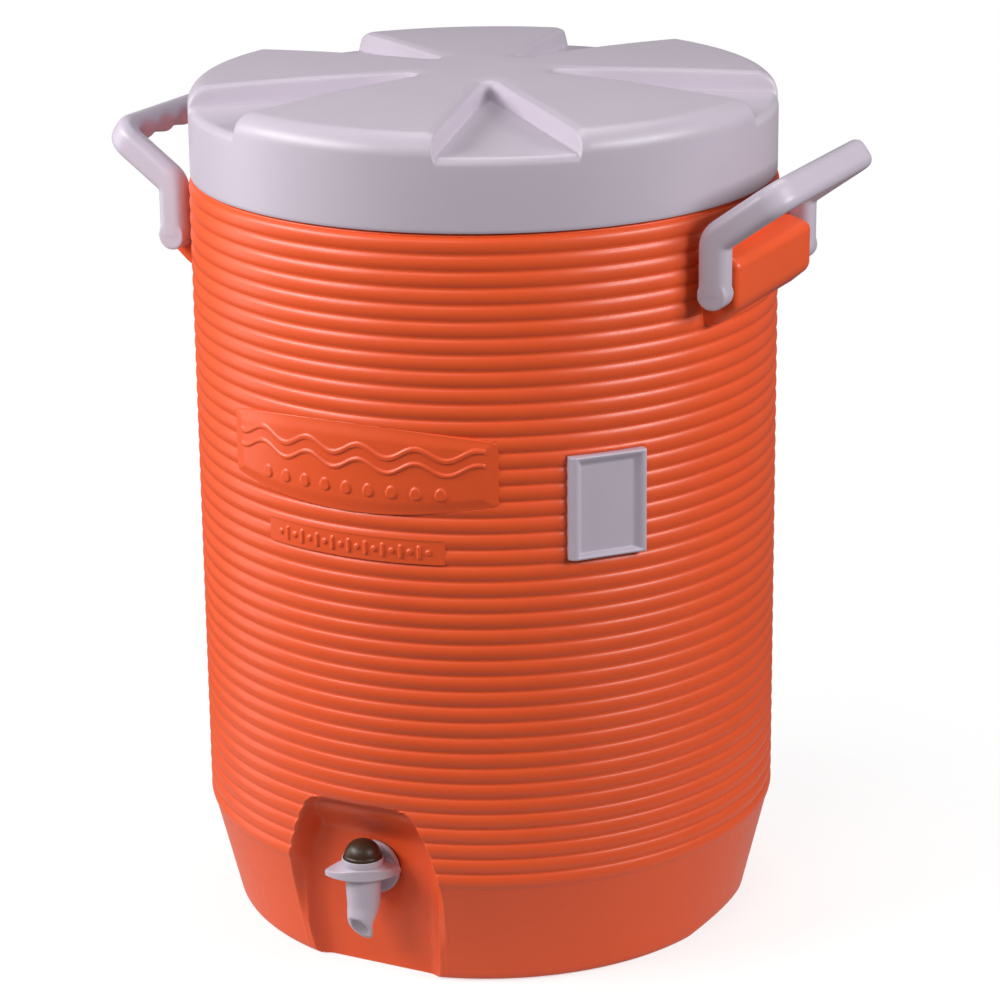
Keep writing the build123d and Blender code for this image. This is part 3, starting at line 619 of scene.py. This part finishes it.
def fillet_path(corners, radii, steps=14):
    """Corner points with the inner ones rounded."""
    path = [Vector(corners[0])]
    for before, here, after, radius in zip(corners, corners[1:], corners[2:], radii):
        a, b, c = Vector(before), Vector(here), Vector(after)
        to_a, to_c = (a - b).normalized(), (c - b).normalized()
        half = to_a.angle(to_c) / 2
        back = radius / math.tan(half)
        middle = b + (to_a + to_c).normalized() * (radius / math.sin(half))
        p, q = b + to_a * back, b + to_c * back
        for k in range(steps + 1):
            ray = (p - middle).slerp(q - middle, k / steps)
            path.append(middle + ray.normalized() * radius)
    path.append(Vector(corners[-1]))
    return path


def sweep(name, path, wide, thick, corner, across):
    """Closed bar of rounded-rectangle section; across(tangent) gives the wide direction."""
    section = []
    for cx, cy, start in ((1, 1, 0), (-1, 1, 90), (-1, -1, 180), (1, -1, 270)):
        for k in range(6):
            t = math.radians(start + 90 * k / 5)
            u = cx * (wide / 2 - corner) + corner * math.cos(t)
            v = cy * (thick / 2 - corner) + corner * math.sin(t)
            section.append((u, v))
    n, verts = len(section), []
    for i, p in enumerate(path):
        tangent = (path[min(i + 1, len(path) - 1)] - path[max(i - 1, 0)]).normalized()
        a = across(tangent)
        b = tangent.cross(a).normalized()
        verts += [p + u * a + v * b for u, v in section]
    faces = [[i * n + k, i * n + (k + 1) % n, (i + 1) * n + (k + 1) % n, (i + 1) * n + k]
             for i in range(len(path) - 1) for k in range(n)]
    faces += [list(range(n))[::-1], list(range((len(path) - 1) * n, len(path) * n))]
    return add_mesh(name, verts, faces, smooth=False)


def build_handle(side, name):
    """Bail with two legs and a scalloped grip; side is 1 for the right one and -1 for the left."""
    corners = [(PIVOT[0], -LEG_S, PIVOT[1]), (BEND[0], -LEG_S, BEND[1]), (GRIP[0], -LEG_S, GRIP[1])]
    corners += [(x, -y, z) for x, y, z in reversed(corners)]
    path = fillet_path(corners, [9.0, 9.9, 9.9, 9.0])
    slope = Vector((GRIP[0] - BEND[0], 0, GRIP[1] - BEND[1])).normalized()
    grip_across = Vector((slope.z, 0, -slope.x))

    def across(tangent):
        # the wide side faces sideways on the legs and turns with the bend
        flat = Vector((tangent.x, 0, tangent.z))
        if flat.length < 0.05:
            return grip_across
        flat.normalize()
        leg = Vector((flat.z, 0, -flat.x)) * (1 if tangent.z > 0 else -1)
        return leg if abs(tangent.y) < 0.98 else grip_across

    bar = sweep(name, path, BAR_WIDE, BAR_THICK, BAR_CORNER, across)
    knuckles = []
    for y in (-LEG_S, LEG_S):
        start = (PIVOT[0], y - KNUCKLE_HALF, PIVOT[1])
        end = (PIVOT[0], y + KNUCKLE_HALF, PIVOT[1])
        knuckles.append(rod("knuckle", KNUCKLE_R, start, end))
    bar = join(name, [bar, *knuckles])
    melt(bar, 0.75, 5)
    # finger scallops under the grip
    co = np.array([v.co for v in bar.data.vertices]) / MM
    along = (co - np.array([GRIP[0], 0, GRIP[1]])) @ np.array(slope)
    on_grip = 1 - ease(np.abs(co[:, 1]), 50.0, 54.0)
    finger = 0.5 + 0.5 * np.cos(2 * math.pi * co[:, 1] / SCALLOP_PITCH)
    share = np.clip(-along / 6.0, 0, 1) ** 0.7 * on_grip * (along > -9)
    co += np.outer(SCALLOP_DEPTH * share * finger ** 0.8, np.array(slope))
    co[:, 0] *= side
    bar.data.vertices.foreach_set("co", (co * MM).ravel())
    if side < 0:
        bar.data.flip_normals()
    soften = bar.modifiers.new("soften", "SMOOTH")
    soften.factor = 0.5
    soften.iterations = 3
    apply_modifiers(bar)
    bar.name = name
    return bar


for side, body in ((1, "handle_right"), (-1, "handle_left")):
    handle = build_handle(side, f"bail_{'right' if side > 0 else 'left'}")
    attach(handle, body)
    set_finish(handle, "handle_white")
    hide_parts(body)


# ---- cup-dispenser bracket -------------------------------------------------
def build_bracket():
    """Low tray with sloping inner faces and a stout left post, let into the ribs."""
    out = np.array([math.sin(BRACKET_TURN), -math.cos(BRACKET_TURN), 0])
    along = np.array([math.cos(BRACKET_TURN), math.sin(BRACKET_TURN), 0])
    half_s, half_z, middle = BRACKET_S, BRACKET_Z, BRACKET_MIDDLE
    s = spaced((-half_s, 0.35), (-14, 1.6), (14, 0.35), (half_s, 0.35))
    v = spaced((-half_z, 0.35), (-23, 2.2), (20, 0.35), (half_z, 0.35))
    vv, ss = np.meshgrid(v, s, indexing="ij")
    outer = -rounded_box(ss, vv, half_s, half_z, 0.9)
    left_in = (ss + half_s - 3.6) / 3.2
    right_in = (half_s - 1.7 - ss) / 5.2
    top_in = (half_z - 1.0 - vv) / 4.4
    low_in = (vv + half_z - 1.5) / 1.7
    inward = np.minimum(np.minimum(left_in, right_in), np.minimum(top_in, low_in))
    d = BRACKET_FACE - BRACKET_DEEP * ease(inward, -0.08, 1.1)
    post = ease(-ss, half_s - 5.0, half_s - 2.6)
    d = d - 2.2 * post * (1 - ease(ss + half_s, 0.0, 3.0)) ** 1.5
    d = d - 0.7 * (1 - ease(outer, 0.0, 0.8)) ** 2
    front = out * d[..., None] + along * ss[..., None] + np.array([0, 0, 1]) * (vv[..., None] + middle)
    border = [front[0, k] for k in range(len(s))] + [front[j, -1] for j in range(1, len(v))]
    border += [front[-1, k] for k in range(len(s) - 2, -1, -1)]
    border += [front[j, 0] for j in range(len(v) - 2, 0, -1)]
    border = np.array(border)
    back = border - out * ((border @ out) - BRACKET_BACK)[:, None]
    face = grid_mesh("tray", front)
    wall = grid_mesh("tray_wall", np.array([back, border]), closed=True)
    return join("bracket_tray", [face, wall])


bracket = build_bracket()
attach(bracket, "cooler")
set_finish(bracket, "handle_white")
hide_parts("cup_bracket")


# ---- spigot ----------------------------------------------------------------
TAP_Z, TAP_Y, SPOUT_Y = 62.0, -158.0, -162.3
SPOUT_BORE, SPOUT_STEPS = 4.8, 64
WING_TURN = math.radians(30.0)
WING_HALF, WING_LOW = 21.2, 62.9


def crowned_plate(name, outline, low, top_of, place):
    """Closed plate of an outline round the middle, with a top that rises towards it."""
    shares = np.concatenate([[0.02], np.linspace(0.1, 1.0, 22)])
    n, verts = len(outline), []
    for share in shares:
        for u, v in outline:
            verts.append(place(u * share, v * share, top_of(math.hypot(u * share, v * share))))
    top = len(verts)
    verts += [place(u, v, low) for u, v in outline]
    faces = [f.tolist() for f in grid_faces(len(shares), n, True)]
    faces.append(list(range(n))[::-1])
    faces += [[top - n + i, top - n + (i + 1) % n, top + (i + 1) % n, top + i] for i in range(n)]
    faces.append(list(range(top, top + n)))
    return outward(add_mesh(name, verts, faces, smooth=False))


def wing_top(radius):
    """Height of the finger plate's top."""
    return float(np.interp(radius, [0, 11.8, 14.5, 18.0, 21.5], [69.9, 69.6, 67.8, 66.6, 65.9]))


def wing_place(u, v, w):
    """The finger plate's own directions in space."""
    x = u * math.cos(WING_TURN) - v * math.sin(WING_TURN)
    y = TAP_Y + u * math.sin(WING_TURN) + v * math.cos(WING_TURN)
    return (x, y, w)


def build_spigot():
    """Flange, barrel, finger plate and slanted spout as one moulding."""
    flange = rod("flange", 15.3, (0, -142.6, TAP_Z), (0, -145.3, TAP_Z))
    hub = rod("hub", 8.4, (0, -144.0, TAP_Z), (0, TAP_Y, TAP_Z))
    outline = []
    for side in (-1, 1):
        for k in range(24):
            t = side * (1 - 2 * k / 24) * WING_HALF
            outline.append((-t, side * 12.0 * (1 - (t / 21.4) ** 2) ** 0.85))
    outline = outline[:-1] if outline[0] == outline[-1] else outline
    wing = crowned_plate("wing", outline, WING_LOW, wing_top, wing_place)
    # barrel that tapers into the spout while its axis moves forward
    steps = np.concatenate([np.linspace(66.4, 47, 5), np.linspace(46, 33, 14), [22.0]])
    radii = np.interp(steps, [22, 33, 36, 38.5, 42, 46.5, 56, 66.4], [6.4, 6.8, 7.3, 8.0, 8.8, 9.3, 9.8, 9.9])
    middles = TAP_Y + (SPOUT_Y - TAP_Y) * (1 - ease(steps, 33, 47))
    a = np.linspace(0, 2 * math.pi, SPOUT_STEPS, endpoint=False)
    rings = []
    for r, y, z in zip(radii, middles, steps):
        rings.append(np.stack([r * np.cos(a), y + r * np.sin(a), np.full_like(a, z)], -1))
    points = np.array(rings).reshape(-1, 3)
    last = len(points) - SPOUT_STEPS
    faces = list(grid_faces(len(steps), SPOUT_STEPS, True, flip=True))
    faces += [list(range(SPOUT_STEPS)), list(range(last, len(points)))[::-1]]
    spout = add_mesh("spout", points, faces, smooth=False)
    body = join("spigot_moulding", [flange, hub, wing, spout])
    melt(body, 0.38, 4)
    # slanted mouth: everything in front of and below the sloping plane goes
    rake, back, heel = 1.4, -155.5, 22.5
    near, away, low, high = -154.0, -185.0, 10.0, 46.5
    cutter = [(near, heel + (back - near) * rake), (near, low), (away, low), (away, high)]
    cutter.append((back - (high - heel) / rake, high))
    slab = prism("slab", cutter, -14.0, 14.0, lambda u, v, w: (w, u, v))
    bore = rod("bore", SPOUT_BORE, (0, SPOUT_Y, low), (0, SPOUT_Y, 41.5))
    cut(body, [slab, bore])
    body.data.polygons.foreach_set("use_smooth", [True] * len(body.data.polygons))
    return body


spigot = build_spigot()
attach(spigot, "cooler")
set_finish(spigot, "spigot_white")
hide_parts("spigot_body")

collar = lathe("spigot_collar", [
    (2.3, 69.0), (10.7, 69.0), (10.85, 69.3), (10.85, 73.2), *arc(11.2, 73.2, 0.36, 180, 0, 7),
    (11.56, 70.6), (11.5, 68.0), (11.3, 66.7), (9.0, 66.65),
], 0, TAP_Y, 96)
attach(collar, "cooler")
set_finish(collar, "spigot_white")
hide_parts("spigot_bonnet")

dome = [(7.2, 73.35), (10.3, 73.32), *arc(10.25, 73.65, 0.33, -80, 0, 5)]
dome += [(10.56, 74.5), (10.3, 74.95), (10.0, 75.2)]
for share in np.linspace(0, 1, 22):
    around = math.radians(90 * share)
    dome.append((max(0.02, 9.95 * math.cos(around) ** 0.86), 75.3 + 8.0 * math.sin(around) ** 1.12))
button = lathe("push_button", dome, 0, TAP_Y, 96)
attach(button, "spigot_valve")
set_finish(button, "button_brown")
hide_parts("spigot_button")


# ---- materials -------------------------------------------------------------
def plastic(name, colour, dark, rough, rough_span, bump, scale, specks=0.0):
    """Moulded plastic: faint mottling, uneven gloss and a fine surface grain."""
    mat = bpy.data.materials.new(name)
    mat.use_nodes = True
    nodes, links = mat.node_tree.nodes, mat.node_tree.links
    shader = nodes["Principled BSDF"]
    shader.inputs["IOR"].default_value = 1.5
    where = nodes.new("ShaderNodeTexCoord")

    def noise(size, detail, roughness):
        node = nodes.new("ShaderNodeTexNoise")
        node.inputs["Scale"].default_value = size
        node.inputs["Detail"].default_value = detail
        node.inputs["Roughness"].default_value = roughness
        links.new(where.outputs["Object"], node.inputs["Vector"])
        return node

    def remap(source, low, high, out_low, out_high):
        node = nodes.new("ShaderNodeMapRange")
        for key, value in (("From Min", low), ("From Max", high), ("To Min", out_low), ("To Max", out_high)):
            node.inputs[key].default_value = value
        links.new(source, node.inputs["Value"])
        return node.outputs["Result"]

    broad = noise(scale, 4, 0.55)
    fine = noise(scale * 14, 3, 0.6)
    grain = noise(scale * 70, 2, 0.5)
    tint = nodes.new("ShaderNodeMix")
    tint.data_type = "RGBA"
    tint.inputs["A"].default_value = (*colour, 1)
    tint.inputs["B"].default_value = (*dark, 1)
    links.new(remap(broad.outputs["Fac"], 0.35, 0.75, 0.0, 1.0), tint.inputs["Factor"])
    colour_out = tint.outputs["Result"]
    if specks:
        spot = remap(fine.outputs["Fac"], 0.68, 0.74, 0.0, specks)
        mix = nodes.new("ShaderNodeMix")
        mix.data_type = "RGBA"
        mix.inputs["B"].default_value = (*[0.55 * c for c in colour], 1)
        links.new(colour_out, mix.inputs["A"])
        links.new(spot, mix.inputs["Factor"])
        colour_out = mix.outputs["Result"]
    links.new(colour_out, shader.inputs["Base Color"])
    links.new(remap(fine.outputs["Fac"], 0.3, 0.7, rough, rough + rough_span), shader.inputs["Roughness"])
    ripple = nodes.new("ShaderNodeBump")
    ripple.inputs["Strength"].default_value = bump
    ripple.inputs["Distance"].default_value = 0.0002
    links.new(grain.outputs["Fac"], ripple.inputs["Height"])
    waves = nodes.new("ShaderNodeBump")
    waves.inputs["Strength"].default_value = bump * 0.8
    waves.inputs["Distance"].default_value = 0.0012
    links.new(broad.outputs["Fac"], waves.inputs["Height"])
    links.new(waves.outputs["Normal"], ripple.inputs["Normal"])
    links.new(ripple.outputs["Normal"], shader.inputs["Normal"])
    return mat


def metal(name, colour, rough):
    """Plain metal with the same grain."""
    mat = plastic(name, colour, [0.8 * c for c in colour], rough, 0.12, 0.1, 40)
    mat.node_tree.nodes["Principled BSDF"].inputs["Metallic"].default_value = 1.0
    return mat


MATERIALS = {
    "shell_orange": plastic("orange_plastic", (0.90, 0.108, 0.025), (0.85, 0.099, 0.021),
                            0.34, 0.07, 0.10, 14, specks=0.12),
    "lid_white": plastic("white_lid", (0.56, 0.495, 0.575), (0.54, 0.475, 0.555),
                         0.36, 0.07, 0.10, 16, specks=0.04),
    "handle_white": plastic("white_handle", (0.575, 0.51, 0.60), (0.555, 0.49, 0.58),
                            0.34, 0.07, 0.10, 22, specks=0.04),
    "spigot_white": plastic("white_spigot", (0.56, 0.49, 0.57), (0.54, 0.47, 0.55),
                            0.31, 0.08, 0.08, 40, specks=0.05),
    "liner_white": plastic("white_liner", (0.80, 0.80, 0.78), (0.77, 0.77, 0.75), 0.32, 0.08, 0.08, 18),
    "button_brown": plastic("brown_button", (0.055, 0.024, 0.011), (0.040, 0.018, 0.008),
                            0.36, 0.10, 0.08, 60),
    "foam_cream": plastic("cream_foam", (0.74, 0.62, 0.36), (0.62, 0.50, 0.26), 0.85, 0.1, 0.5, 90),
    "plug_orange": plastic("orange_plug", (0.56, 0.075, 0.028), (0.50, 0.066, 0.024), 0.45, 0.1, 0.1, 60),
    "rubber_dark": plastic("dark_rubber", (0.028, 0.027, 0.028), (0.02, 0.02, 0.021), 0.6, 0.1, 0.2, 80),
    "seal_grey": plastic("grey_seal", (0.36, 0.36, 0.36), (0.30, 0.30, 0.30), 0.6, 0.1, 0.15, 60),
    "steel": metal("plain_steel", (0.55, 0.55, 0.56), 0.30),
}
node_slots = {row["node"]: row["material_slot"] for row in frame["record"]["subparts"]}
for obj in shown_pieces():
    wanted = obj.get("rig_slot") or node_slots[obj["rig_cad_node"]]
    obj.data.materials.clear()
    obj.data.materials.append(MATERIALS[wanted])


# ---- floor, light and camera -----------------------------------------------
def backdrop():
    """Pale floor that fades out round the cooler."""
    bpy.ops.mesh.primitive_circle_add(radius=0.7, vertices=96, fill_type="NGON", location=(0, 0, -0.0004))
    floor = bpy.context.object
    floor.name = "floor"
    mat = bpy.data.materials.new("pale_floor")
    mat.use_nodes = True
    nodes, links = mat.node_tree.nodes, mat.node_tree.links
    shader = nodes["Principled BSDF"]
    shader.inputs["Roughness"].default_value = 0.6
    where = nodes.new("ShaderNodeTexCoord")
    noise = nodes.new("ShaderNodeTexNoise")
    noise.inputs["Scale"].default_value = 3
    links.new(where.outputs["Object"], noise.inputs["Vector"])
    ramp = nodes.new("ShaderNodeMapRange")
    ramp.inputs["To Min"].default_value = 0.90
    ramp.inputs["To Max"].default_value = 0.93
    links.new(noise.outputs["Fac"], ramp.inputs["Value"])
    links.new(ramp.outputs["Result"], shader.inputs["Base Color"])
    shader.inputs["Emission Color"].default_value = (1, 1, 1, 1)
    shader.inputs["Emission Strength"].default_value = 0.30
    reach = nodes.new("ShaderNodeVectorMath")
    reach.operation = "LENGTH"
    links.new(where.outputs["Object"], reach.inputs[0])
    fade = nodes.new("ShaderNodeMapRange")
    fade.interpolation_type = "SMOOTHSTEP"
    for key, value in (("From Min", 0.18), ("From Max", 0.46), ("To Min", 0.42), ("To Max", 0.0)):
        fade.inputs[key].default_value = value
    links.new(reach.outputs["Value"], fade.inputs["Value"])
    links.new(fade.outputs["Result"], shader.inputs["Alpha"])
    floor.data.materials.append(mat)


LIGHT_AIM = Vector((0, 0, 0.25))


def softbox(name, azimuth, elevation, distance, size_x, size_y, power):
    """Area light that faces the middle of the cooler; angles in degrees."""
    light = bpy.data.lights.new(name, "AREA")
    light.shape = "RECTANGLE"
    light.size, light.size_y = size_x, size_y
    light.energy = power
    obj = bpy.data.objects.new(name, light)
    a, e = math.radians(azimuth), math.radians(elevation)
    outwards = Vector((math.sin(a) * math.cos(e), -math.cos(a) * math.cos(e), math.sin(e)))
    obj.location = LIGHT_AIM + distance * outwards
    obj.rotation_euler = (LIGHT_AIM - obj.location).to_track_quat("-Z", "Y").to_euler()
    bpy.context.scene.collection.objects.link(obj)


backdrop()
VIEW = 27.0                     # angle of the camera round the cooler
CAMERA_BACK, CAMERA_HIGH = 1.8795, 0.8427
softbox("left_box", VIEW - 72, 30, 1.4, 1.05, 0.42, 18)
softbox("left_fill", VIEW - 100, 4, 1.6, 0.7, 1.2, 4.5)
softbox("right_box", VIEW + 60, 28, 1.5, 0.75, 0.36, 14)
softbox("top_box", VIEW + 160, 72, 1.7, 1.0, 0.9, 7.6)
softbox("front_box", VIEW - 20, 42, 2.2, 0.6, 0.4, 4.4)

world = bpy.data.worlds.new("studio")
world.use_nodes = True
tree = world.node_tree
tree.nodes["Background"].inputs["Color"].default_value = (1, 1, 1, 1)
seen = tree.nodes.new("ShaderNodeLightPath")
level = tree.nodes.new("ShaderNodeMapRange")
level.inputs["To Min"].default_value = 0.12
level.inputs["To Max"].default_value = 1.0
tree.links.new(seen.outputs["Is Camera Ray"], level.inputs["Value"])
tree.links.new(level.outputs["Result"], tree.nodes["Background"].inputs["Strength"])
bpy.context.scene.world = world
bpy.context.scene.view_settings.view_transform = "Standard"

camera = bpy.data.objects.new("camera", bpy.data.cameras.new("camera"))
camera.data.lens = 123.15
camera.data.sensor_width = 36.0
bpy.context.scene.collection.objects.link(camera)
bpy.context.scene.camera = camera
yaw, pitch, roll = math.radians(0.21), math.radians(17.95), math.radians(-0.638)
forward = Vector((math.sin(yaw) * math.cos(pitch), math.cos(yaw) * math.cos(pitch), -math.sin(pitch)))
right = forward.cross(Vector((0, 0, 1))).normalized()
up = right.cross(forward)
tilted_right = math.cos(roll) * right + math.sin(roll) * up
tilted_up = -math.sin(roll) * right + math.cos(roll) * up
place = Matrix((
    (tilted_right.x, tilted_up.x, -forward.x, 0.0),
    (tilted_right.y, tilted_up.y, -forward.y, -CAMERA_BACK),
    (tilted_right.z, tilted_up.z, -forward.z, CAMERA_HIGH),
    (0, 0, 0, 1),
))
camera.matrix_world = Matrix.Rotation(math.radians(VIEW), 4, "Z") @ place
camera.data.clip_start, camera.data.clip_end = 0.05, 50
